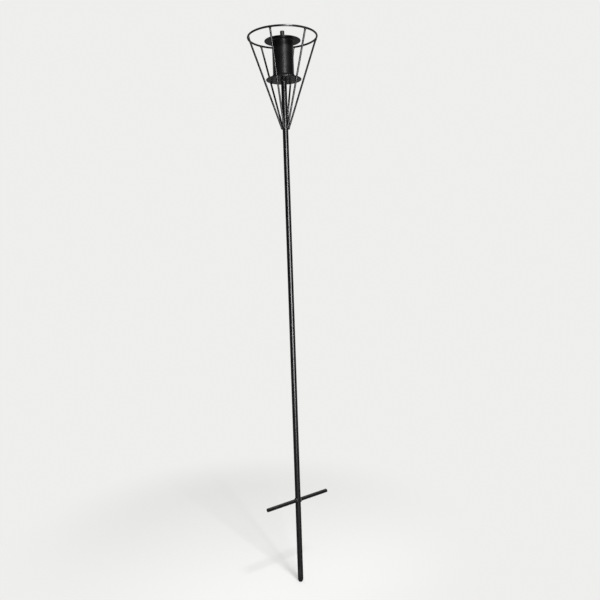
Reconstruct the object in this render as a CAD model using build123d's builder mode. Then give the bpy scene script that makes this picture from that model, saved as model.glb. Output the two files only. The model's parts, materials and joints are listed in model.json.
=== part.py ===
from build123d import *
import math
import os

os.makedirs("parts", exist_ok=True)

# A black steel garden torch: a pole with a ground spike, a step bar and a cone cage
# that holds a fuel canister. All sizes are in millimetres. The origin is on the pole's
# axis at the seam between the tube and the spike. +Z is up and the step bar lies along X.

# Pole and ground spike
pole_diameter = 19.05
pole_wall = 1.6
pole_length = 1451.4
seam_chamfer = 1.5
spike_length = 266.0
spike_taper_length = 8.0
spike_tip_diameter = 13.0
spike_tip_rounding = 2.0
spigot_bar_gap = 2.65
spigot_lead_in = 1.5
spigot_clearance = 0.1
seam_bead_height = 0.2

# Step bar
step_bar_diameter = 12.7
step_bar_length = 262.0
step_bar_height = 26.0
step_bar_end_chamfer = 0.8
step_bar_clearance = 0.1
step_bar_bead_radius = 3.0
step_bar_bead_inset = 1.2

# Cone cage
rod_count = 6
first_rod_angle = 32.5
rod_diameter = 6.35
rod_cope_depth = 1.0
foot_below_tray = 156.5
foot_bead_height = 1.0
foot_bead_offset = 1.6
ring_diameter = 226.6
ring_wire_diameter = 6.35
ring_above_tray = 138.0
ring_bead_height = 1.1
ring_bead_drop = 0.4
ring_bedding_depth = 1.0

# Tray and locating collar
tray_rod_gap = 3.8
tray_thickness = 3.0
tray_edge_rounding = 0.9
tray_bead_leg = 5.0
tray_bead_sag = 0.5
collar_wall = 1.5
collar_height = 12.0
collar_edge_rounding = 0.5
collar_clearance = 0.5
collar_tack_count = 4
collar_tack_radius = 2.6

# Fuel canister
canister_diameter = 70.0
canister_height = 121.9
canister_wall = 1.0
canister_corner_rounding = 3.0
plate_diameter = 119.5
plate_thickness = 1.5
plate_edge_rounding = 0.5
plate_skirt_depth = 6.0
plate_skirt_wall = 1.2
plate_skirt_clearance = 0.1
plate_bead_leg = 2.0

# Filler neck
neck_diameter = 27.0
neck_bore_diameter = 21.0
neck_rise = 4.0
neck_depth = 9.0
neck_flange_width = 2.5
neck_flange_thickness = 1.5
neck_clearance = 0.1

# Burner, gasket and wick
gasket_thickness = 1.6
gasket_clearance = 0.3
thread_clearance = 0.1
thread_length = 9.0
cap_flange_thickness = 1.5
hex_sides = 6
hex_across_flats = 24.0
hex_height = 8.0
hex_bevel_angle = 60.0
tube_wall = 0.5
tube_rise = 30.8
tube_drop = 22.0
tube_edge_rounding = 0.2
tube_clearance = 0.05
wick_diameter = 12.7
wick_clearance = 0.3
wick_rise = 1.2
wick_end_rounding = 0.8
wick_floor_gap = 0.5

# Radii and levels that follow from the sizes above
pole_radius = pole_diameter / 2
pole_inner_radius = pole_radius - pole_wall
step_bar_radius = step_bar_diameter / 2
rod_radius = rod_diameter / 2
ring_radius = ring_diameter / 2
ring_wire_radius = ring_wire_diameter / 2
canister_radius = canister_diameter / 2
canister_inner_radius = canister_radius - canister_wall
collar_inner_radius = canister_radius + collar_clearance
collar_outer_radius = collar_inner_radius + collar_wall
neck_radius = neck_diameter / 2
neck_bore_radius = neck_bore_diameter / 2
thread_radius = neck_bore_radius - thread_clearance
wick_radius = wick_diameter / 2
tube_bore_radius = wick_radius + wick_clearance
tube_radius = tube_bore_radius + tube_wall

foot_height = pole_length - foot_below_tray
ring_height = pole_length + ring_above_tray
tray_top = pole_length + tray_thickness
plate_underside = tray_top + canister_height
plate_top = plate_underside + plate_thickness
neck_top = plate_top + neck_rise
cap_seat = neck_top + gasket_thickness
hex_base = cap_seat + cap_flange_thickness
hex_top = hex_base + hex_height
tube_top = plate_top + tube_rise

# The line of a cage rod, from its foot on the pole up to the ring's centreline. It is drawn
# on the -X side, and each rod is a copy turned about the pole to its own place.
foot_radius = pole_radius + rod_radius - rod_cope_depth
rod_run = ring_radius - foot_radius
rod_climb = ring_height - foot_height
rod_length = math.hypot(rod_run, rod_climb)
rod_direction = (-rod_run / rod_length, 0, rod_climb / rod_length)
rod_foot = (-foot_radius, 0, foot_height)
rod_turns = [first_rod_angle - 180 + 360 / rod_count * k for k in range(rod_count)]


def save(part, name):
    part.label = name
    export_step(part, f"parts/{name}.step")


# Pole: a long tube, bevelled for the seam weld and cross-drilled for the step bar
with BuildPart() as pole_tube:
    with BuildSketch():
        Circle(pole_radius)
        Circle(pole_inner_radius, mode=Mode.SUBTRACT)
    extrude(amount=pole_length)
    lower_edges = pole_tube.edges().filter_by(GeomType.CIRCLE).group_by(Axis.Z)[0]
    chamfer(lower_edges.sort_by(SortBy.RADIUS)[-1], length=seam_chamfer)
    with BuildSketch(Plane.YZ):
        with Locations((0, step_bar_height)):
            Circle(step_bar_radius + step_bar_clearance)
    extrude(amount=pole_diameter, both=True, mode=Mode.SUBTRACT)
save(pole_tube.part, "pole_tube")

# Ground spike: a solid bar with a blunt nose, and a spigot that plugs into the tube
spigot_radius = pole_inner_radius - spigot_clearance
spigot_length = step_bar_height - step_bar_radius - spigot_bar_gap
spike_tip_radius = spike_tip_diameter / 2
with BuildPart() as ground_spike:
    with BuildSketch(Plane.XZ):
        with BuildLine():
            Polyline(
                (0, -spike_length),
                (spike_tip_radius, -spike_length),
                (pole_radius, spike_taper_length - spike_length),
                (pole_radius, 0),
                (spigot_radius, 0),
                (spigot_radius, spigot_length - spigot_lead_in),
                (spigot_radius - spigot_lead_in, spigot_length),
                (0, spigot_length),
                close=True,
            )
        make_face()
    revolve(axis=Axis.Z)
    fillet(ground_spike.edges().group_by(Axis.Z)[0], radius=spike_tip_rounding)
save(ground_spike.part, "ground_spike")

# Seam weld: a ring that fills the tube's bevel, ground almost flush
with BuildPart() as spike_weld:
    with BuildSketch(Plane.XZ):
        with BuildLine():
            Polyline((pole_radius, seam_chamfer), (pole_radius - seam_chamfer, 0), (pole_radius, 0))
            ThreePointArc(
                (pole_radius, 0),
                (pole_radius + seam_bead_height, seam_chamfer / 2),
                (pole_radius, seam_chamfer),
            )
        make_face()
    revolve(axis=Axis.Z)
save(spike_weld.part, "spike_weld")

# Step bar: one round bar through the pole, with the sharp edges taken off its ends
with BuildPart() as step_bar:
    with BuildSketch(Plane.YZ):
        with Locations((0, step_bar_height)):
            Circle(step_bar_radius)
    extrude(amount=step_bar_length / 2, both=True)
    chamfer(step_bar.edges().filter_by(GeomType.CIRCLE), length=step_bar_end_chamfer)
save(step_bar.part, "step_bar")

# Step bar welds: a round bead about the bar on each side of the pole
with BuildPart() as step_bar_welds:
    bead_reach = pole_radius - step_bar_bead_inset
    with Locations(
        Location((bead_reach, 0, step_bar_height), (0, 90, 0)),
        Location((-bead_reach, 0, step_bar_height), (0, 90, 0)),
    ):
        Torus(step_bar_radius, step_bar_bead_radius)
    with BuildSketch():
        Circle(pole_radius)
    extrude(amount=2 * step_bar_height, mode=Mode.SUBTRACT)
    with BuildSketch(Plane.YZ):
        with Locations((0, step_bar_height)):
            Circle(step_bar_radius)
    extrude(amount=step_bar_length / 2, both=True, mode=Mode.SUBTRACT)
save(step_bar_welds.part, "step_bar_welds")

# Cage ring: round wire bent to a circle
with BuildPart() as cage_ring:
    with Locations((0, 0, ring_height)):
        Torus(ring_radius, ring_wire_radius)
save(cage_ring.part, "cage_ring")

# Cage rods: straight round bars, coped to the pole below and bedded on the ring above
rod_line = Plane(rod_foot, z_dir=rod_direction)
with BuildPart() as cage_rod:
    with BuildSketch(rod_line):
        Circle(rod_radius)
    extrude(amount=rod_length - ring_wire_radius + ring_bedding_depth)
    with Locations((0, 0, ring_height)):
        Torus(ring_radius, ring_wire_radius, mode=Mode.SUBTRACT)
    with BuildSketch():
        Circle(pole_radius)
    extrude(amount=pole_length, mode=Mode.SUBTRACT)
for number, turn in enumerate(rod_turns, start=1):
    save(cage_rod.part.rotate(Axis.Z, turn), f"cage_rod_{number}")

# Ring welds: a round bead about the end of each rod, tight under the ring
with BuildPart() as ring_weld:
    with Locations(rod_line.offset(rod_length - ring_wire_radius - ring_bead_drop)):
        Sphere(rod_radius + ring_bead_height)
    with Locations((0, 0, ring_height)):
        Torus(ring_radius, ring_wire_radius, mode=Mode.SUBTRACT)
    add(cage_rod.part, mode=Mode.SUBTRACT)
with BuildPart() as ring_welds:
    for turn in rod_turns:
        add(ring_weld.part, rotation=(0, 0, turn))
save(ring_welds.part, "ring_welds")

# Rod foot welds: a lump about the lower end of each rod, run on to the pole
with BuildPart() as foot_weld:
    with Locations((-pole_radius - foot_bead_offset, 0, foot_height)):
        Sphere(rod_radius + foot_bead_height)
    with BuildSketch():
        Circle(pole_radius)
    extrude(amount=pole_length, mode=Mode.SUBTRACT)
    add(cage_rod.part, mode=Mode.SUBTRACT)
with BuildPart() as rod_foot_welds:
    for turn in rod_turns:
        add(foot_weld.part, rotation=(0, 0, turn))
save(rod_foot_welds.part, "rod_foot_welds")

# Tray: a flat disc on the pole's end, clear of the rods that lean out past its rim
rod_radius_at_tray = foot_radius + rod_run * foot_below_tray / rod_climb
rod_half_width_level = rod_radius * rod_length / rod_climb
tray_radius = rod_radius_at_tray - rod_half_width_level - tray_rod_gap
with BuildPart() as canister_tray:
    with BuildSketch(Plane.XY.offset(pole_length)):
        Circle(tray_radius)
    extrude(amount=tray_thickness)
    fillet(canister_tray.edges().filter_by(GeomType.CIRCLE), radius=tray_edge_rounding)
save(canister_tray.part, "canister_tray")

# Tray weld: a fillet in the corner between the pole and the tray
with BuildPart() as tray_weld:
    with BuildSketch(Plane.XZ):
        with BuildLine():
            Polyline(
                (pole_radius + tray_bead_leg, pole_length),
                (pole_radius, pole_length),
                (pole_radius, pole_length - tray_bead_leg),
            )
            SagittaArc(
                (pole_radius, pole_length - tray_bead_leg),
                (pole_radius + tray_bead_leg, pole_length),
                tray_bead_sag,
            )
        make_face()
    revolve(axis=Axis.Z)
save(tray_weld.part, "tray_weld")

# Locating collar: a low band that keeps the canister on the middle of the tray
with BuildPart() as canister_collar:
    with BuildSketch(Plane.XY.offset(tray_top)):
        Circle(collar_outer_radius)
        Circle(collar_inner_radius, mode=Mode.SUBTRACT)
    extrude(amount=collar_height)
    fillet(canister_collar.edges().group_by(Axis.Z)[-1], radius=collar_edge_rounding)
save(canister_collar.part, "canister_collar")

# Collar welds: short tacks in the corner outside the collar
with BuildPart() as collar_welds:
    with Locations((0, 0, tray_top)):
        with PolarLocations(collar_outer_radius, collar_tack_count, start_angle=first_rod_angle):
            Sphere(collar_tack_radius)
    with BuildSketch(Plane.XY.offset(tray_top)):
        Circle(collar_outer_radius)
    extrude(amount=collar_height, mode=Mode.SUBTRACT)
    split(bisect_by=Plane.XY.offset(tray_top), keep=Keep.TOP)
save(collar_welds.part, "collar_welds")

# Canister: a drawn can, open at the top
with BuildPart() as canister_body:
    with BuildSketch(Plane.XY.offset(tray_top)):
        Circle(canister_radius)
    extrude(amount=canister_height)
    fillet(canister_body.edges().group_by(Axis.Z)[0], radius=canister_corner_rounding)
    offset(amount=-canister_wall, openings=canister_body.faces().sort_by(Axis.Z)[-1])
save(canister_body.part, "canister_body")

# Top plate: a wide disc with a skirt that plugs into the can
skirt_radius = canister_inner_radius - plate_skirt_clearance
with BuildPart() as canister_top_plate:
    with BuildSketch(Plane.XY.offset(plate_underside)):
        Circle(plate_diameter / 2)
    extrude(amount=plate_thickness)
    fillet(canister_top_plate.edges().filter_by(GeomType.CIRCLE), radius=plate_edge_rounding)
    with BuildSketch(Plane.XY.offset(plate_underside)):
        Circle(skirt_radius)
        Circle(skirt_radius - plate_skirt_wall, mode=Mode.SUBTRACT)
    extrude(amount=-plate_skirt_depth)
    with Locations((0, 0, plate_top)):
        Hole(neck_radius + neck_clearance)
save(canister_top_plate.part, "canister_top_plate")

# Canister seam: a thin fillet in the corner between the can and the plate
with BuildPart() as canister_seam_weld:
    with BuildSketch(Plane.XZ):
        with BuildLine():
            Polyline(
                (canister_radius, plate_underside),
                (canister_radius + plate_bead_leg, plate_underside),
                (canister_radius, plate_underside - plate_bead_leg),
                close=True,
            )
        make_face()
    revolve(axis=Axis.Z)
save(canister_seam_weld.part, "canister_seam_weld")

# Filler neck: a flanged bush in the plate
with BuildPart() as filler_neck:
    with BuildSketch(Plane.XY.offset(plate_underside - neck_depth)):
        Circle(neck_radius)
    extrude(amount=neck_depth + plate_thickness + neck_rise)
    with BuildSketch(Plane.XY.offset(plate_top)):
        Circle(neck_radius + neck_flange_width)
    extrude(amount=neck_flange_thickness)
    with Locations((0, 0, neck_top)):
        Hole(neck_bore_radius)
save(filler_neck.part, "filler_neck")

# Gasket: a flat ring between the neck and the burner cap
with BuildPart() as burner_gasket:
    with BuildSketch(Plane.XY.offset(neck_top)):
        Circle(neck_radius)
        Circle(thread_radius + gasket_clearance, mode=Mode.SUBTRACT)
    extrude(amount=gasket_thickness)
save(burner_gasket.part, "burner_gasket")

# Burner cap: a hexagon on a round flange, with a screwed shank below it
hex_inner_radius = hex_across_flats / 2
bevel_spread = hex_height * math.tan(math.radians(hex_bevel_angle))
with BuildPart() as burner_cap:
    with BuildSketch(Plane.XY.offset(hex_base)):
        RegularPolygon(hex_inner_radius, hex_sides, major_radius=False)
    extrude(amount=hex_height)
    with BuildSketch(Plane.XY.offset(hex_base)):
        Circle(hex_inner_radius + bevel_spread)
    extrude(amount=hex_height, taper=hex_bevel_angle, mode=Mode.INTERSECT)
    with BuildSketch(Plane.XY.offset(cap_seat)):
        Circle(neck_radius)
    extrude(amount=cap_flange_thickness)
    with BuildSketch(Plane.XY.offset(cap_seat)):
        Circle(thread_radius)
    extrude(amount=-thread_length - gasket_thickness)
    with Locations((0, 0, hex_top)):
        Hole(tube_radius + tube_clearance)
save(burner_cap.part, "burner_cap")

# Wick tube: a thin tube through the cap
with BuildPart() as wick_tube:
    with BuildSketch(Plane.XY.offset(plate_underside - tube_drop)):
        Circle(tube_radius)
        Circle(tube_bore_radius, mode=Mode.SUBTRACT)
    extrude(amount=tube_drop + plate_thickness + tube_rise)
    fillet(wick_tube.edges().group_by(Axis.Z)[-1], radius=tube_edge_rounding)
save(wick_tube.part, "wick_tube")

# Wick: a thick round wick from the can's floor to just above the tube
wick_base = tray_top + canister_wall + wick_floor_gap
with BuildPart() as wick:
    with BuildSketch(Plane.XY.offset(wick_base)):
        Circle(wick_radius)
    extrude(amount=tube_top + wick_rise - wick_base)
    fillet(wick.edges().group_by(Axis.Z)[-1], radius=wick_end_rounding)
save(wick.part, "wick")
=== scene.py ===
import json
import math
import random
from collections import namedtuple

import bmesh
import bpy
from mathutils import Matrix, Vector, noise


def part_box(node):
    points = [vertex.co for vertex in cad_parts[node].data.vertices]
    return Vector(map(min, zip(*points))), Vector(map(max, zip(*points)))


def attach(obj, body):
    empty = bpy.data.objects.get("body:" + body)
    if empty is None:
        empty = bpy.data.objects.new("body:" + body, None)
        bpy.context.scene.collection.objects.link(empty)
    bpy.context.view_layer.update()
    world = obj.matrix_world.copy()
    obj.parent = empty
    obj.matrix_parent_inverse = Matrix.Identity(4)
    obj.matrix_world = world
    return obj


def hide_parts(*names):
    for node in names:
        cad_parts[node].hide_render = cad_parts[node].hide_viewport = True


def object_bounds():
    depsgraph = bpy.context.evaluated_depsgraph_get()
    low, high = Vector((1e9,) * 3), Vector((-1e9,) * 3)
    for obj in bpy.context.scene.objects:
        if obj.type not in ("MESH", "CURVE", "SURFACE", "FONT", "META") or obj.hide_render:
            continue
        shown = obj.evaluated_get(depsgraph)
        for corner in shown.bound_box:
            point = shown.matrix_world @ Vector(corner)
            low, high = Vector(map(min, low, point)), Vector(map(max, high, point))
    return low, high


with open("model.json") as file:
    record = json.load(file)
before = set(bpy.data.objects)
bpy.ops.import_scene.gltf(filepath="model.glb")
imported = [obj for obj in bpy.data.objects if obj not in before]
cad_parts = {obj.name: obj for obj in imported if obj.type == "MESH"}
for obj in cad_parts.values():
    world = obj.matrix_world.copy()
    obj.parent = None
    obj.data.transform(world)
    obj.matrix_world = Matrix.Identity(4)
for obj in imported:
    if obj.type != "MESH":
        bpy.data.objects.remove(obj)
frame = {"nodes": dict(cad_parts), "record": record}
cad_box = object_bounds()
nodes = frame["nodes"]

# A black steel garden torch in a plain pale studio. Lengths are in metres and angles in degrees,
# unless a name says otherwise. The places of the dressed pieces are read from the frame's solids.

# Camera, about the pole's axis and above the spike's tip
CAMERA_AZIMUTH = -38.04
CAMERA_DISTANCE = 2.1685
CAMERA_HEIGHT = 1.1543
CAMERA_YAW = 0.786
CAMERA_PITCH = 4.387
CAMERA_ROLL = -1.883
CAMERA_LENS_MM = 38.495
CAMERA_SENSOR_MM = 36.0

# Surround: even and pale to the eye. The paint mirrors it dim in front of the torch and brighter
# behind and above, between a start and a full cosine of the angle to each of these directions.
PALE = (0.86, 0.86, 0.85)
WORLD_DIM = 0.015
WORLD_BEHIND = 0.5
BEHIND_START = 0.35
BEHIND_FULL = 0.85
WORLD_ABOVE = 0.80
ABOVE_START = 0.45
ABOVE_FULL = 0.90

# Floor: to the eye it is lit round the middle of the torch's shadow and glows as the surround
# does farther away. The paint mirrors that glow only behind the torch, and little past the sweep.
FLOOR_RADIUS = 12.0
FLOOR_STEPS = 96
FLOOR_BOUNCE = (0.10, 0.10, 0.098)
FLOOR_SHADE = 0.98
FLOOR_CLOUD_SCALE = 1.5
FLOOR_GLOSS_SCALE = 40.0
FLOOR_SMOOTH = 0.75
FLOOR_ROUGH = 0.90
FLOOR_GRAIN_SCALE = 300.0
FLOOR_GRAIN_DEPTH = 0.00005
SHADOW_REACH = 0.50
FLOOR_FADE_START = 0.40
FLOOR_FADE_END = 1.00
FLOOR_LIFT = 0.40
FLOOR_MIRRORED = 0.20
SWEEP_START = 3.2
SWEEP_END = 4.6
SWEEP_MIRRORED = 0.15

# Lamps: a tall window to the right of the camera, and a small key lamp higher and farther right
WINDOW_AZIMUTH = -23.0
WINDOW_DISTANCE = 2.6
WINDOW_HEIGHT = 1.09
WINDOW_WIDTH = 0.70
WINDOW_TALL = 2.14
WINDOW_WATTS = 90.0
KEY_AZIMUTH = -12.0
KEY_DISTANCE = 2.2
KEY_HEIGHT = 3.6
KEY_SIZE = 0.5
KEY_WATTS = 90.0

# Patterns: cloudy noise by its waves per metre and its detail, with the values that count as 0 and 1
Pattern = namedtuple("Pattern", "scale detail low high")
CLOUDS = Pattern(scale=9.0, detail=4.0, low=0.35, high=0.65)
SCUFFS = Pattern(scale=330.0, detail=2.0, low=0.66, high=0.78)
DUST = Pattern(scale=60.0, detail=6.0, low=0.30, high=0.70)
SHEEN = Pattern(scale=28.0, detail=2.0, low=0.30, high=0.70)
RUBS = Pattern(scale=120.0, detail=6.0, low=0.50, high=0.72)
TUBE_SOOT = Pattern(scale=400.0, detail=5.0, low=0.35, high=0.60)
BLOOM = Pattern(scale=250.0, detail=5.0, low=0.35, high=0.75)

# Grains: the scale of noise along each axis. A small one along Z draws it out into upright streaks.
EVEN_GRAIN = (1, 1, 1)
DRAWN_GRAIN = (1, 1, 0.03)
SHEET_GRAIN = (1, 1, 0.05)
TURNED_GRAIN = (1, 1, 0.1)
RUB_GRAIN = (1, 1, 0.12)
STRAND_GRAIN = (1, 1, 0.15)

# Paint: each finish has its own roughness, size and depth of peel, and grain of the scuffs
Finish = namedtuple("Finish", "roughness peel_size peel_depth grain")
STEEL_FINISH = Finish(roughness=0.265, peel_size=0.0016, peel_depth=0.000006, grain=DRAWN_GRAIN)
SPIKE_FINISH = Finish(roughness=0.28, peel_size=0.0016, peel_depth=0.000010, grain=DRAWN_GRAIN)
COLLAR_FINISH = Finish(roughness=0.68, peel_size=0.0007, peel_depth=0.00003, grain=EVEN_GRAIN)
WELD_FINISH = Finish(roughness=0.28, peel_size=0.0009, peel_depth=0.00004, grain=EVEN_GRAIN)
CANISTER_FINISH = Finish(roughness=0.305, peel_size=0.0011, peel_depth=0.000003, grain=SHEET_GRAIN)
BURNER_FINISH = Finish(roughness=0.34, peel_size=0.0007, peel_depth=0.00004, grain=TURNED_GRAIN)
PLAIN_IOR = 1.5
PAINT_IOR = 1.6
DULL_IOR = 1.2
PAINT_DARK = (0.0025, 0.0025, 0.0027)
PAINT_LIGHT = (0.0045, 0.0045, 0.0048)
PAINT_SCUFF = (0.018, 0.018, 0.019)
SCUFF_STRENGTH = 0.5
PAINT_DUST = (0.105, 0.098, 0.088)
DUST_STRENGTH = 0.16
DUST_DULLING = 1.2
DUST_SLOPE_START = 0.25
DUST_SLOPE_FULL = 0.95
SHEEN_SPREAD = 0.015
PEEL_DETAIL = 2.0

# Wear of the spike, from its tip up
RUB_REACH = 0.09
RUB_COLOUR = (0.034, 0.033, 0.032)
RUB_STRENGTH = 0.6
RUB_DULLING = 0.12

# Soot and heat. On the plate, soot thins out with the distance from the axis and stays on its top.
# On the tube, both grow from one drop below its top to another.
SOOT = (0.0030, 0.0028, 0.0027)
PLATE_SOOT_EDGE = 0.052
PLATE_SOOT_FULL = 0.012
PLATE_SOOT_DROP = 0.004
PLATE_SOOT_SKIN = 0.001
PLATE_SOOT_SCALE = 90.0
PLATE_SOOT_DULLING = 0.5
HEAT_DROP = 0.020
HEAT_FULL_DROP = 0.002
HEAT_COLOUR = (0.024, 0.017, 0.012)
HEAT_STRENGTH = 0.5
TUBE_SOOT_DULLING = 0.35

# Rubber of the gasket
RUBBER = (0.016, 0.016, 0.016)
RUBBER_BLOOM = (0.040, 0.040, 0.041)
RUBBER_SMOOTH = 0.62
RUBBER_ROUGH = 0.80
RUBBER_GRAIN_SCALE = 1500.0
RUBBER_GRAIN_DEPTH = 0.00004

# Fibre of the wick. The brown and the char also grow from one drop below its top to another.
FIBRE_SHADE = (0.30, 0.27, 0.21)
FIBRE_LIGHT = (0.52, 0.48, 0.39)
FIBRE_SMOOTH = 0.75
FIBRE_ROUGH = 0.95
STRAND_SCALE = 2600.0
STRAND_DEPTH = 0.00012
BROWN = (0.060, 0.034, 0.018)
BROWN_DROP = 0.022
BROWN_FULL_DROP = 0.008
CHAR = (0.0055, 0.0050, 0.0048)
CHAR_DROP = 0.010
CHAR_FULL_DROP = 0.004
RAGGED_SCALE = 300.0
RAGGED_HEIGHT = 0.004

# Dressed welds
WELD_MERGE = 0.000001
WELD_VOXEL = 0.00032
WELD_LUMP_SCALE = 420.0
WELD_GRAIN_SCALE = 1500.0
WELD_GRAIN_SHARE = 0.3
RIPPLE_SLANT = 108.0
BAR_RIPPLES = 13
POLE_RIPPLES = 22

# Screwed burner cap
THREAD_PITCH = 0.003
THREAD_RADIUS = 0.0104
THREAD_DEPTH = 0.0011
THREAD_STEPS_PER_PITCH = 14
THREAD_RUN_OUT = 0.0016
CAP_FLANGE_THICKNESS = 0.0015
CAP_BORE_GAP = 0.00005
CAP_STEPS = 144
HEX_SIDES = 6
HEX_BEVEL_ANGLE = 30.0
EDGE_BEVEL = 0.0003

# Braided wick. Its crown is rounded by rows with these insets and drops below the shoulder.
WICK_YARNS = 9
WICK_YARN_DEPTH = 0.00055
WICK_OVER_SHARE = 0.2
WICK_BRAID_LENGTH = 0.046
WICK_BRAID_ROW = 0.0004
WICK_STEPS = 144
WICK_FOOT_SHARE = 0.6
WICK_FOOT_RISE = 0.0006
WICK_CROWN_DROP = 0.0008
WICK_CROWN = ((0.0001, 0.0005), (0.0004, 0.0002), (0.0010, 0.0), (0.0030, 0.0))
WICK_TUFT_DROP = 0.0006

# Tuft of burnt fibres on the wick
TUFT_SEED = 7
TUFT_COUNT = 90
TUFT_SPREAD = 0.9
TUFT_SINK = 0.0006
TUFT_SHORTEST = 0.0007
TUFT_LONGEST = 0.0012
TUFT_LEAN_RADIANS = 0.7
TUFT_SIDES = 5
TUFT_FOOT_RADIUS = 0.00032
TUFT_END_RADIUS = 0.00010

# Edges sharper than this stay sharp in the shading
SHARP_ANGLE = 35.0
WICK_SHARP_ANGLE = 80.0


def bake_object(name, bm, material, sharp_angle=SHARP_ANGLE):
    """Links a new mesh object made from bm, shaded smooth but for edges sharper than sharp_angle."""
    bm.normal_update()
    for face in bm.faces:
        face.smooth = True
    for edge in bm.edges:
        edge.smooth = not edge.is_manifold or edge.calc_face_angle(0.0) < math.radians(sharp_angle)
    mesh = bpy.data.meshes.new(name)
    bm.to_mesh(mesh)
    bm.free()
    mesh.materials.append(material)
    piece = bpy.data.objects.new(name, mesh)
    bpy.context.scene.collection.objects.link(piece)
    return piece


def turned_grid(bm, rows, steps, closed_rows=False):
    """A grid of faces about the Z axis. A row is a function of the angle that gives (radius, height)."""
    rings = []
    for row in rows:
        ring = []
        for k in range(steps):
            angle = 2 * math.pi * k / steps
            radius, height = row(angle)
            ring.append(bm.verts.new((radius * math.cos(angle), radius * math.sin(angle), height)))
        rings.append(ring)
    pairs = list(zip(rings, rings[1:]))
    if closed_rows:
        pairs.append((rings[-1], rings[0]))
    for lower, upper in pairs:
        for k in range(steps):
            n = (k + 1) % steps
            bm.faces.new((lower[k], lower[n], upper[n], upper[k]))
    return rings


def horizontal(azimuth, distance):
    """A point at that distance from the pole, where azimuth 0 is straight in front, along -Y."""
    angle = math.radians(azimuth)
    return Vector((math.sin(angle) * distance, -math.cos(angle) * distance, 0))


class NodeTree:
    """A tree of shader nodes, with a short call for each kind of node that is used here."""

    def __init__(self, tree, coordinates):
        self.tree = tree
        self.place = self.node("ShaderNodeTexCoord").outputs[coordinates]

    def node(self, kind, **settings):
        made = self.tree.nodes.new(kind)
        for key, value in settings.items():
            setattr(made, key, value)
        return made

    def feed(self, socket, value):
        """Links the socket to another node's output, or sets it to a constant."""
        if isinstance(value, bpy.types.NodeSocket):
            self.tree.links.new(value, socket)
        else:
            socket.default_value = value

    def span(self, value, low=0.0, high=1.0, to_low=0.0, to_high=1.0):
        """A smooth step from to_low, where the value is low, to to_high, where it is high."""
        made = self.node("ShaderNodeMapRange", interpolation_type="SMOOTHSTEP")
        self.feed(made.inputs["Value"], value)
        made.inputs["From Min"].default_value = low
        made.inputs["From Max"].default_value = high
        made.inputs["To Min"].default_value = to_low
        made.inputs["To Max"].default_value = to_high
        return made.outputs["Result"]

    def maths(self, operation, a, b):
        made = self.node("ShaderNodeMath", operation=operation)
        self.feed(made.inputs[0], a)
        self.feed(made.inputs[1], b)
        return made.outputs[0]

    def times(self, a, b):
        return self.maths("MULTIPLY", a, b)

    def along(self, direction):
        """How far the place lies in that direction."""
        made = self.node("ShaderNodeVectorMath", operation="DOT_PRODUCT")
        self.feed(made.inputs[0], self.place)
        made.inputs[1].default_value = direction
        return made.outputs["Value"]

    def seen(self, path):
        """1 for the rays of the eye, also through glass, and 0 for all others."""
        return self.maths("MAXIMUM", path.outputs["Is Camera Ray"], path.outputs["Is Transmission Ray"])


class Shader(NodeTree):
    """A material's node tree, with one surface shader."""

    def __init__(self, name, ior=PLAIN_IOR):
        self.material = bpy.data.materials.new(name)
        self.material.use_nodes = True
        super().__init__(self.material.node_tree, "Object")
        self.surface = self.tree.nodes["Principled BSDF"]
        self.surface.inputs["IOR"].default_value = ior

    def noise(self, scale, detail=3.0, stretch=EVEN_GRAIN):
        mapping = self.node("ShaderNodeMapping")
        self.feed(mapping.inputs["Vector"], self.place)
        mapping.inputs["Scale"].default_value = stretch
        made = self.node("ShaderNodeTexNoise")
        self.feed(made.inputs["Vector"], mapping.outputs["Vector"])
        made.inputs["Scale"].default_value = scale
        made.inputs["Detail"].default_value = detail
        return made.outputs["Fac"]

    def pattern(self, kind, stretch=EVEN_GRAIN, to_low=0.0, to_high=1.0):
        cloudy = self.noise(kind.scale, kind.detail, stretch)
        return self.span(cloudy, kind.low, kind.high, to_low, to_high)

    def colour(self, factor, a, b):
        made = self.node("ShaderNodeMix", data_type="RGBA")
        self.feed(made.inputs["Factor"], factor)
        self.feed(made.inputs["A"], (*a, 1) if isinstance(a, tuple) else a)
        self.feed(made.inputs["B"], (*b, 1) if isinstance(b, tuple) else b)
        return made.outputs["Result"]

    def bump(self, height, distance):
        made = self.node("ShaderNodeBump")
        made.inputs["Distance"].default_value = distance
        self.feed(made.inputs["Height"], height)
        return made.outputs["Normal"]

    def dulled(self, roughness, cover, dulling):
        """The roughness, with the dulling added where the cover is full."""
        return self.maths("ADD", roughness, self.times(cover, dulling))

    def upright_part(self, vector):
        split = self.node("ShaderNodeSeparateXYZ")
        self.feed(split.inputs[0], vector)
        return split.outputs["Z"]

    def facing_up(self):
        return self.upright_part(self.node("ShaderNodeNewGeometry").outputs["Normal"])

    def level(self):
        return self.upright_part(self.place)

    def distance_from_axis(self, centre=(0, 0, 0)):
        """Level distance from an upright line through the centre, by default the pole's axis."""
        offset = self.node("ShaderNodeVectorMath", operation="SUBTRACT")
        self.feed(offset.inputs[0], self.place)
        offset.inputs[1].default_value = centre
        flat = self.node("ShaderNodeVectorMath", operation="MULTIPLY")
        self.feed(flat.inputs[0], offset.outputs["Vector"])
        flat.inputs[1].default_value = (1, 1, 0)
        length = self.node("ShaderNodeVectorMath", operation="LENGTH")
        self.feed(length.inputs[0], flat.outputs["Vector"])
        return length.outputs["Value"]

    def finish(self, colour, roughness, normal):
        self.feed(self.surface.inputs["Base Color"], colour)
        self.feed(self.surface.inputs["Roughness"], roughness)
        self.feed(self.surface.inputs["Normal"], normal)
        return self.material


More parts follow.
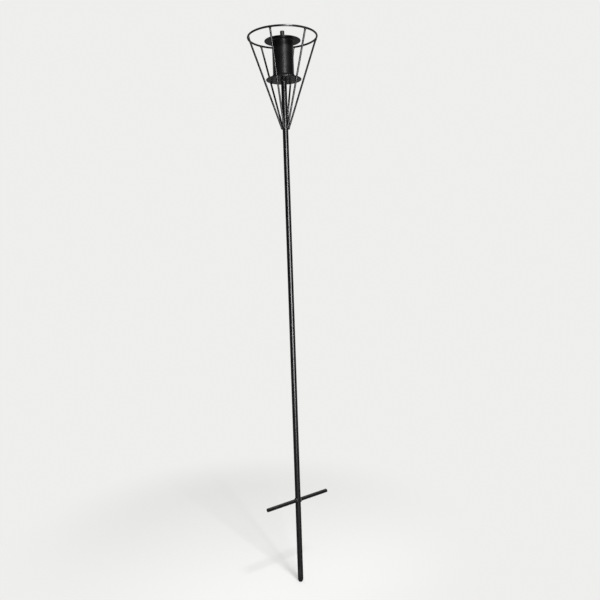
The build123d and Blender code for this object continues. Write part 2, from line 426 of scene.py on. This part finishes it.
def paint_layers(shader, finish):
    """Black paint: cloudy tone, a fine peel, scuffs along the grain and dust on what faces up."""
    tone = shader.colour(shader.pattern(CLOUDS), PAINT_DARK, PAINT_LIGHT)
    scuffs = shader.pattern(SCUFFS, finish.grain, to_high=SCUFF_STRENGTH)
    tone = shader.colour(scuffs, tone, PAINT_SCUFF)
    settled = shader.span(shader.facing_up(), DUST_SLOPE_START, DUST_SLOPE_FULL, to_high=DUST_STRENGTH)
    dust = shader.times(settled, shader.pattern(DUST))
    tone = shader.colour(dust, tone, PAINT_DUST)
    smoothest = finish.roughness - SHEEN_SPREAD
    roughest = finish.roughness + SHEEN_SPREAD
    roughness = shader.pattern(SHEEN, to_low=smoothest, to_high=roughest)
    roughness = shader.dulled(roughness, dust, DUST_DULLING)
    normal = shader.bump(shader.noise(1 / finish.peel_size, PEEL_DETAIL), finish.peel_depth)
    return tone, roughness, normal


def plain_paint(name, ior, finish):
    """Black paint with nothing more on it than its layers."""
    shader = Shader(name, ior)
    return shader.finish(*paint_layers(shader, finish))


def steel_paint():
    """Satin black paint over drawn bar and tube."""
    return plain_paint("frame_paint", PAINT_IOR, STEEL_FINISH)


def collar_paint():
    """The same paint with a weak, rough reflection, so the collar shows as a dark band."""
    return plain_paint("collar_paint", DULL_IOR, COLLAR_FINISH)


def weld_paint():
    """Paint that lies thick in the ripples of a weld."""
    return plain_paint("weld_paint", PAINT_IOR, WELD_FINISH)


def spike_paint():
    """The same paint, rubbed grey towards the spike's tip by soil and stones."""
    shader = Shader("spike_paint", PAINT_IOR)
    tone, roughness, normal = paint_layers(shader, SPIKE_FINISH)
    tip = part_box("ground_spike")[0].z
    nearness = shader.span(shader.level(), tip + RUB_REACH, tip)
    rubbed = shader.times(nearness, shader.pattern(RUBS, RUB_GRAIN))
    tone = shader.colour(shader.times(rubbed, RUB_STRENGTH), tone, RUB_COLOUR)
    roughness = shader.dulled(roughness, rubbed, RUB_DULLING)
    return shader.finish(tone, roughness, normal)


def canister_paint():
    """Smooth paint over thin sheet, with soot on the plate round the burner."""
    shader = Shader("canister_paint")
    tone, roughness, normal = paint_layers(shader, CANISTER_FINISH)
    plate_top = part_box("canister_top_plate")[1].z
    reach = shader.span(shader.distance_from_axis(), PLATE_SOOT_EDGE, PLATE_SOOT_FULL)
    on_top = shader.span(shader.level(), plate_top - PLATE_SOOT_DROP, plate_top - PLATE_SOOT_SKIN)
    soot = shader.times(shader.times(reach, on_top), shader.noise(PLATE_SOOT_SCALE, detail=6.0))
    tone = shader.colour(soot, tone, SOOT)
    roughness = shader.dulled(roughness, soot, PLATE_SOOT_DULLING)
    return shader.finish(tone, roughness, normal)


def burner_metal():
    """Black burner, browned by heat and matt with soot towards the flame."""
    shader = Shader("burner_metal")
    tone, roughness, normal = paint_layers(shader, BURNER_FINISH)
    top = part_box("wick_tube")[1].z
    heat = shader.span(shader.level(), top - HEAT_DROP, top - HEAT_FULL_DROP)
    tone = shader.colour(shader.times(heat, HEAT_STRENGTH), tone, HEAT_COLOUR)
    soot = shader.times(heat, shader.pattern(TUBE_SOOT))
    tone = shader.colour(soot, tone, SOOT)
    roughness = shader.dulled(roughness, soot, TUBE_SOOT_DULLING)
    return shader.finish(tone, roughness, normal)


def gasket_rubber():
    """Plain flat rubber, a little bloomed."""
    shader = Shader("gasket_rubber")
    bloom = shader.pattern(BLOOM)
    tone = shader.colour(bloom, RUBBER, RUBBER_BLOOM)
    roughness = shader.span(bloom, to_low=RUBBER_SMOOTH, to_high=RUBBER_ROUGH)
    return shader.finish(tone, roughness, shader.bump(shader.noise(RUBBER_GRAIN_SCALE), RUBBER_GRAIN_DEPTH))


def wick_fibre():
    """Braided glass fibre, charred black at the lit end and browned below it."""
    shader = Shader("wick_fibre")
    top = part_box("wick")[1].z
    ragged = shader.times(shader.noise(RAGGED_SCALE, detail=4.0), RAGGED_HEIGHT)
    height = shader.maths("ADD", shader.level(), ragged)
    strands = shader.noise(STRAND_SCALE, stretch=STRAND_GRAIN)
    tone = shader.colour(strands, FIBRE_SHADE, FIBRE_LIGHT)
    tone = shader.colour(shader.span(height, top - BROWN_DROP, top - BROWN_FULL_DROP), tone, BROWN)
    tone = shader.colour(shader.span(height, top - CHAR_DROP, top - CHAR_FULL_DROP), tone, CHAR)
    roughness = shader.span(strands, to_low=FIBRE_SMOOTH, to_high=FIBRE_ROUGH)
    return shader.finish(tone, roughness, shader.bump(strands, STRAND_DEPTH))


def pale_floor():
    """Matt pale floor that fades into the pale studio with distance and keeps the torch's shadow."""
    shader = Shader("pale_floor")
    path = shader.node("ShaderNodeLightPath")
    seen = shader.seen(path)
    shaded = tuple(FLOOR_SHADE * c for c in PALE)
    even = shader.colour(shader.noise(FLOOR_CLOUD_SCALE, detail=2.0), PALE, shaded)
    shader.finish(
        shader.colour(seen, FLOOR_BOUNCE, even),
        shader.span(shader.noise(FLOOR_GLOSS_SCALE), to_low=FLOOR_SMOOTH, to_high=FLOOR_ROUGH),
        shader.bump(shader.noise(FLOOR_GRAIN_SCALE, detail=2.0), FLOOR_GRAIN_DEPTH),
    )
    glow = shader.node("ShaderNodeEmission")
    glow.inputs["Color"].default_value = (*PALE, 1)
    away = shader.distance_from_axis(-horizontal(KEY_AZIMUTH, SHADOW_REACH))
    far = shader.span(away, FLOOR_FADE_START, FLOOR_FADE_END, FLOOR_LIFT, 1.0)
    behind = shader.along(-horizontal(CAMERA_AZIMUTH, 1.0))
    rise = shader.span(behind, FLOOR_FADE_START, FLOOR_FADE_END, 0.0, FLOOR_MIRRORED)
    fall = shader.span(behind, SWEEP_START, SWEEP_END, 1.0, SWEEP_MIRRORED)
    mirrored = shader.times(path.outputs["Is Glossy Ray"], shader.times(rise, fall))
    blend = shader.node("ShaderNodeMixShader")
    shader.feed(blend.inputs["Fac"], shader.maths("MAXIMUM", shader.times(seen, far), mirrored))
    shader.feed(blend.inputs[1], shader.surface.outputs["BSDF"])
    shader.feed(blend.inputs[2], glow.outputs["Emission"])
    shader.feed(shader.tree.nodes["Material Output"].inputs["Surface"], blend.outputs["Shader"])
    return shader.material


def make_floor(tip):
    """A wide round floor at the level of the spike's tip."""
    bm = bmesh.new()
    bmesh.ops.create_circle(bm, cap_ends=True, segments=FLOOR_STEPS, radius=FLOOR_RADIUS)
    floor = bake_object("floor", bm, pale_floor())
    floor.location.z = tip


def make_world():
    """Even and pale to the eye. What the torch reflects is pale above and behind it and dim in front."""
    world = bpy.data.worlds.new("studio")
    bpy.context.scene.world = world
    world.use_nodes = True
    sky = NodeTree(world.node_tree, "Generated")
    back = -horizontal(CAMERA_AZIMUTH, 1.0)
    behind = sky.span(sky.along(back), BEHIND_START, BEHIND_FULL, WORLD_DIM, WORLD_BEHIND)
    up = Vector((0, 0, 1))
    above = sky.span(sky.along(up), ABOVE_START, ABOVE_FULL, WORLD_DIM, WORLD_ABOVE)
    strength = sky.node("ShaderNodeMix")
    sky.feed(strength.inputs["Factor"], sky.seen(sky.node("ShaderNodeLightPath")))
    sky.feed(strength.inputs["A"], sky.maths("MAXIMUM", behind, above))
    strength.inputs["B"].default_value = 1.0
    background = sky.tree.nodes["Background"]
    background.inputs["Color"].default_value = (*PALE, 1)
    sky.feed(background.inputs["Strength"], strength.outputs["Result"])


def make_camera(tip):
    """The camera at the photograph's viewing angle, with its height above the tip."""
    data = bpy.data.cameras.new("camera")
    data.lens = CAMERA_LENS_MM
    data.sensor_width = CAMERA_SENSOR_MM
    camera = bpy.data.objects.new("camera", data)
    bpy.context.scene.collection.objects.link(camera)
    turn = Matrix.Rotation(math.radians(CAMERA_AZIMUTH - CAMERA_YAW), 4, "Z")
    tip_down = Matrix.Rotation(math.radians(90 - CAMERA_PITCH), 4, "X")
    roll = Matrix.Rotation(math.radians(CAMERA_ROLL), 4, "Z")
    place = horizontal(CAMERA_AZIMUTH, CAMERA_DISTANCE) + Vector((0, 0, tip + CAMERA_HEIGHT))
    camera.matrix_world = Matrix.Translation(place) @ turn @ tip_down @ roll
    bpy.context.scene.camera = camera


def make_lamp(name, place, target, width, tall, watts):
    """A soft rectangular lamp that faces the target."""
    data = bpy.data.lights.new(name, "AREA")
    data.shape = "RECTANGLE"
    data.size = width
    data.size_y = tall
    data.energy = watts
    lamp = bpy.data.objects.new(name, data)
    bpy.context.scene.collection.objects.link(lamp)
    lamp.location = place
    lamp.rotation_euler = (target - lamp.location).to_track_quat("-Z", "Y").to_euler()


def make_lamps(tip, middle):
    """The window faces the pole at its own height, and the key lamp faces the torch's middle."""
    window_level = Vector((0, 0, tip + WINDOW_HEIGHT))
    window_place = horizontal(WINDOW_AZIMUTH, WINDOW_DISTANCE) + window_level
    make_lamp("window", window_place, window_level, WINDOW_WIDTH, WINDOW_TALL, WINDOW_WATTS)
    key_place = horizontal(KEY_AZIMUTH, KEY_DISTANCE) + Vector((0, 0, tip + KEY_HEIGHT))
    make_lamp("key", key_place, middle, KEY_SIZE, KEY_SIZE, KEY_WATTS)


def bead_ripple(position, centre, axis, count):
    """Height, from -1 to 1, of the ripples that a weld leaves as it goes round an axis."""
    across = axis.orthogonal().normalized()
    offset = position - centre
    angle = math.atan2(offset.dot(axis.cross(across)), offset.dot(across))
    phase = count * angle / (2 * math.pi) + RIPPLE_SLANT * offset.dot(axis)
    return 1 - 2 * abs(2 * (phase % 1) - 1) ** 2


def dress_weld(node, material, ripple_depth, lump_depth, ripple):
    """A weld's solid with its ripples and lumps. ripple is a function of a point, from -1 to 1."""
    bm = bmesh.new()
    bm.from_mesh(nodes[node].data)
    bmesh.ops.remove_doubles(bm, verts=bm.verts, dist=WELD_MERGE)
    piece = bake_object("dressed_" + node, bm, material)
    remesh = piece.modifiers.new("remesh", "REMESH")
    remesh.mode = "VOXEL"
    remesh.voxel_size = WELD_VOXEL
    shape = piece.evaluated_get(bpy.context.evaluated_depsgraph_get())
    even = bpy.data.meshes.new_from_object(shape)
    piece.modifiers.clear()
    piece.data = even
    normals = [vertex.normal.copy() for vertex in even.vertices]
    moved = []
    for vertex, normal in zip(even.vertices, normals):
        lump = noise.noise(vertex.co * WELD_LUMP_SCALE)
        grain = noise.noise(vertex.co * WELD_GRAIN_SCALE)
        rise = ripple_depth * ripple(vertex.co) + lump_depth * (lump + WELD_GRAIN_SHARE * grain)
        moved.extend(vertex.co + normal * rise)
    even.vertices.foreach_set("co", moved)
    for polygon in even.polygons:
        polygon.use_smooth = True
    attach(piece, "torch_frame")
    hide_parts(node)


def dress_welds(material):
    """The frame's welds: rippled where a bead runs round the bar or pole, only lumpy elsewhere."""
    up = Vector((0, 0, 1))
    along_bar = Vector((1, 0, 0))
    low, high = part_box("step_bar")
    bar_centre = (low + high) / 2
    origin = Vector((0, 0, 0))

    def no_ripple(point):
        return 0.0

    def round_bar(point):
        return bead_ripple(point, bar_centre, along_bar, BAR_RIPPLES)

    def round_pole(point):
        return bead_ripple(point, origin, up, POLE_RIPPLES)

    dress_weld("step_bar_welds", material, ripple_depth=0.00022, lump_depth=0.00020, ripple=round_bar)
    dress_weld("tray_weld", material, ripple_depth=0.00025, lump_depth=0.00020, ripple=round_pole)
    dress_weld("spike_weld", material, ripple_depth=0.00010, lump_depth=0.00006, ripple=round_pole)
    dress_weld("ring_welds", material, ripple_depth=0.0, lump_depth=0.00035, ripple=no_ripple)
    dress_weld("rod_foot_welds", material, ripple_depth=0.0, lump_depth=0.00040, ripple=no_ripple)
    dress_weld("collar_welds", material, ripple_depth=0.0, lump_depth=0.00020, ripple=no_ripple)


def plain_row(radius, height):
    """A round, level row of a turned grid."""
    return lambda angle: (radius, height)


def hex_row(inner_radius, height):
    """A row of the hexagon's wall. height is a function of the wall's distance from the axis."""
    sector = 2 * math.pi / HEX_SIDES

    def row(angle):
        radius = inner_radius / math.cos((angle % sector) - sector / 2)
        return radius, height(radius)

    return row


def thread_row(height, fade):
    """A row of the screwed shank: a rounded groove that climbs one pitch each turn."""

    def row(angle):
        phase = height / THREAD_PITCH - angle / (2 * math.pi)
        groove = 0.5 - 0.5 * math.cos(2 * math.pi * phase)
        return THREAD_RADIUS - THREAD_DEPTH * fade * groove, height

    return row


def shank_rows(bottom, length):
    """The rows of the screwed shank, whose groove runs out just below the flange."""
    rows = []
    count = round(length / THREAD_PITCH * THREAD_STEPS_PER_PITCH)
    for k in range(1, count):
        climbed = length * k / count
        fade = 1.0 if climbed < length - THREAD_RUN_OUT else (length - climbed) / THREAD_RUN_OUT
        rows.append(thread_row(bottom + climbed, fade))
    return rows


def dress_burner_cap(material):
    """A bevelled hexagon on a round flange, over a screwed shank, bored for the wick tube."""
    low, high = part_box("burner_cap")
    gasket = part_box("burner_gasket")[1]
    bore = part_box("wick_tube")[1].x + CAP_BORE_GAP
    flat = high.x * math.cos(math.pi / HEX_SIDES)
    bevel_slope = math.tan(math.radians(HEX_BEVEL_ANGLE))
    shelf = gasket.z + CAP_FLANGE_THICKNESS
    rows = [
        plain_row(bore, low.z),
        plain_row(THREAD_RADIUS - THREAD_DEPTH, low.z),
        *shank_rows(low.z, gasket.z - low.z),
        plain_row(THREAD_RADIUS, gasket.z),
        plain_row(gasket.x - EDGE_BEVEL, gasket.z),
        plain_row(gasket.x, gasket.z + EDGE_BEVEL),
        plain_row(gasket.x, shelf - EDGE_BEVEL),
        plain_row(gasket.x - EDGE_BEVEL, shelf),
        hex_row(flat, lambda radius: shelf),
        hex_row(flat, lambda radius: high.z - EDGE_BEVEL - (radius - flat) * bevel_slope),
        plain_row(flat - EDGE_BEVEL, high.z),
        plain_row(bore + EDGE_BEVEL, high.z),
        plain_row(bore, high.z - EDGE_BEVEL),
    ]
    bm = bmesh.new()
    turned_grid(bm, rows, CAP_STEPS, closed_rows=True)
    piece = bake_object("screwed_burner_cap", bm, material)
    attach(piece, "burner")
    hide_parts("burner_cap")


def braid_height(angle, height, radius):
    """Height, from 0 to 1, of two sets of yarns that cross over and under round a wick."""
    pitch = 2 * math.pi * radius / WICK_YARNS
    one = WICK_YARNS * angle / (2 * math.pi) + height / pitch
    two = WICK_YARNS * angle / (2 * math.pi) - height / pitch
    over = WICK_OVER_SHARE * math.cos(math.pi * (math.floor(one) + math.floor(two)))
    middle = 1 - WICK_OVER_SHARE
    first = math.sin(math.pi * (one % 1))
    second = math.sin(math.pi * (two % 1))
    return max(first * (middle + over), second * (middle - over))


def braid_row(radius, height, inset=0.0):
    """A row of the wick's braid, drawn in from its radius by the inset."""

    def row(angle):
        return radius - inset - WICK_YARN_DEPTH * (1 - braid_height(angle, height, radius)), height

    return row


def add_tuft(bm, radius, shoulder):
    """Short burnt fibres that stand on the wick's end and lean all ways."""
    chance = random.Random(TUFT_SEED)
    for _ in range(TUFT_COUNT):
        place = Vector((radius * TUFT_SPREAD * math.sqrt(chance.random()), 0, 0))
        place.rotate(Matrix.Rotation(2 * math.pi * chance.random(), 3, "Z"))
        place.z = shoulder - TUFT_SINK
        length = chance.uniform(TUFT_SHORTEST, TUFT_LONGEST)
        lean = Matrix.Rotation(chance.uniform(0, TUFT_LEAN_RADIANS), 4, "X")
        turn = Matrix.Rotation(2 * math.pi * chance.random(), 4, "Z")
        bmesh.ops.create_cone(
            bm,
            cap_ends=True,
            segments=TUFT_SIDES,
            radius1=TUFT_FOOT_RADIUS,
            radius2=TUFT_END_RADIUS,
            depth=length,
            matrix=Matrix.Translation(place) @ turn @ lean @ Matrix.Translation((0, 0, length / 2)),
        )


def dress_wick(material):
    """A round braided wick, plain where the can hides it, with a tuft of burnt fibre on top."""
    low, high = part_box("wick")
    radius = high.x
    shoulder = high.z - WICK_TUFT_DROP
    braid_base = high.z - WICK_BRAID_LENGTH
    rows = [
        plain_row(radius * WICK_FOOT_SHARE, low.z),
        plain_row(radius - WICK_YARN_DEPTH, low.z + WICK_FOOT_RISE),
    ]
    count = round((shoulder - WICK_CROWN_DROP - braid_base) / WICK_BRAID_ROW)
    for k in range(count + 1):
        rows.append(braid_row(radius, braid_base + k * WICK_BRAID_ROW))
    for inset, drop in WICK_CROWN:
        rows.append(braid_row(radius, shoulder - drop, inset))
    bm = bmesh.new()
    rings = turned_grid(bm, rows, WICK_STEPS)
    bm.faces.new(list(reversed(rings[0])))
    bm.faces.new(rings[-1])
    add_tuft(bm, radius, shoulder)
    piece = bake_object("braided_wick", bm, material, WICK_SHARP_ANGLE)
    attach(piece, "wick")
    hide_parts("wick")


def give_material(node, material):
    """Makes that the only material of a solid of the frame."""
    mesh = nodes[node].data
    mesh.materials.clear()
    mesh.materials.append(material)


def paint_nodes():
    """Gives each solid of the frame the finish of its material slot, and the spike and collar their own."""
    finishes = {
        "frame_black": steel_paint(),
        "weld_black": weld_paint(),
        "canister_black": canister_paint(),
        "burner_black": burner_metal(),
        "gasket_rubber": gasket_rubber(),
        "wick_fibre": wick_fibre(),
    }
    for part in frame["record"]["subparts"]:
        give_material(part["node"], finishes[part["material_slot"]])
    give_material("ground_spike", spike_paint())
    give_material("canister_collar", collar_paint())
    return finishes


tip_level = cad_box[0].z
middle = Vector((0, 0, (cad_box[0].z + cad_box[1].z) / 2))
finishes = paint_nodes()
dress_welds(finishes["weld_black"])
dress_burner_cap(finishes["burner_black"])
dress_wick(finishes["wick_fibre"])
make_floor(tip_level)
make_world()
make_camera(tip_level)
make_lamps(tip_level, middle)
bpy.context.scene.view_settings.view_transform = "Standard"
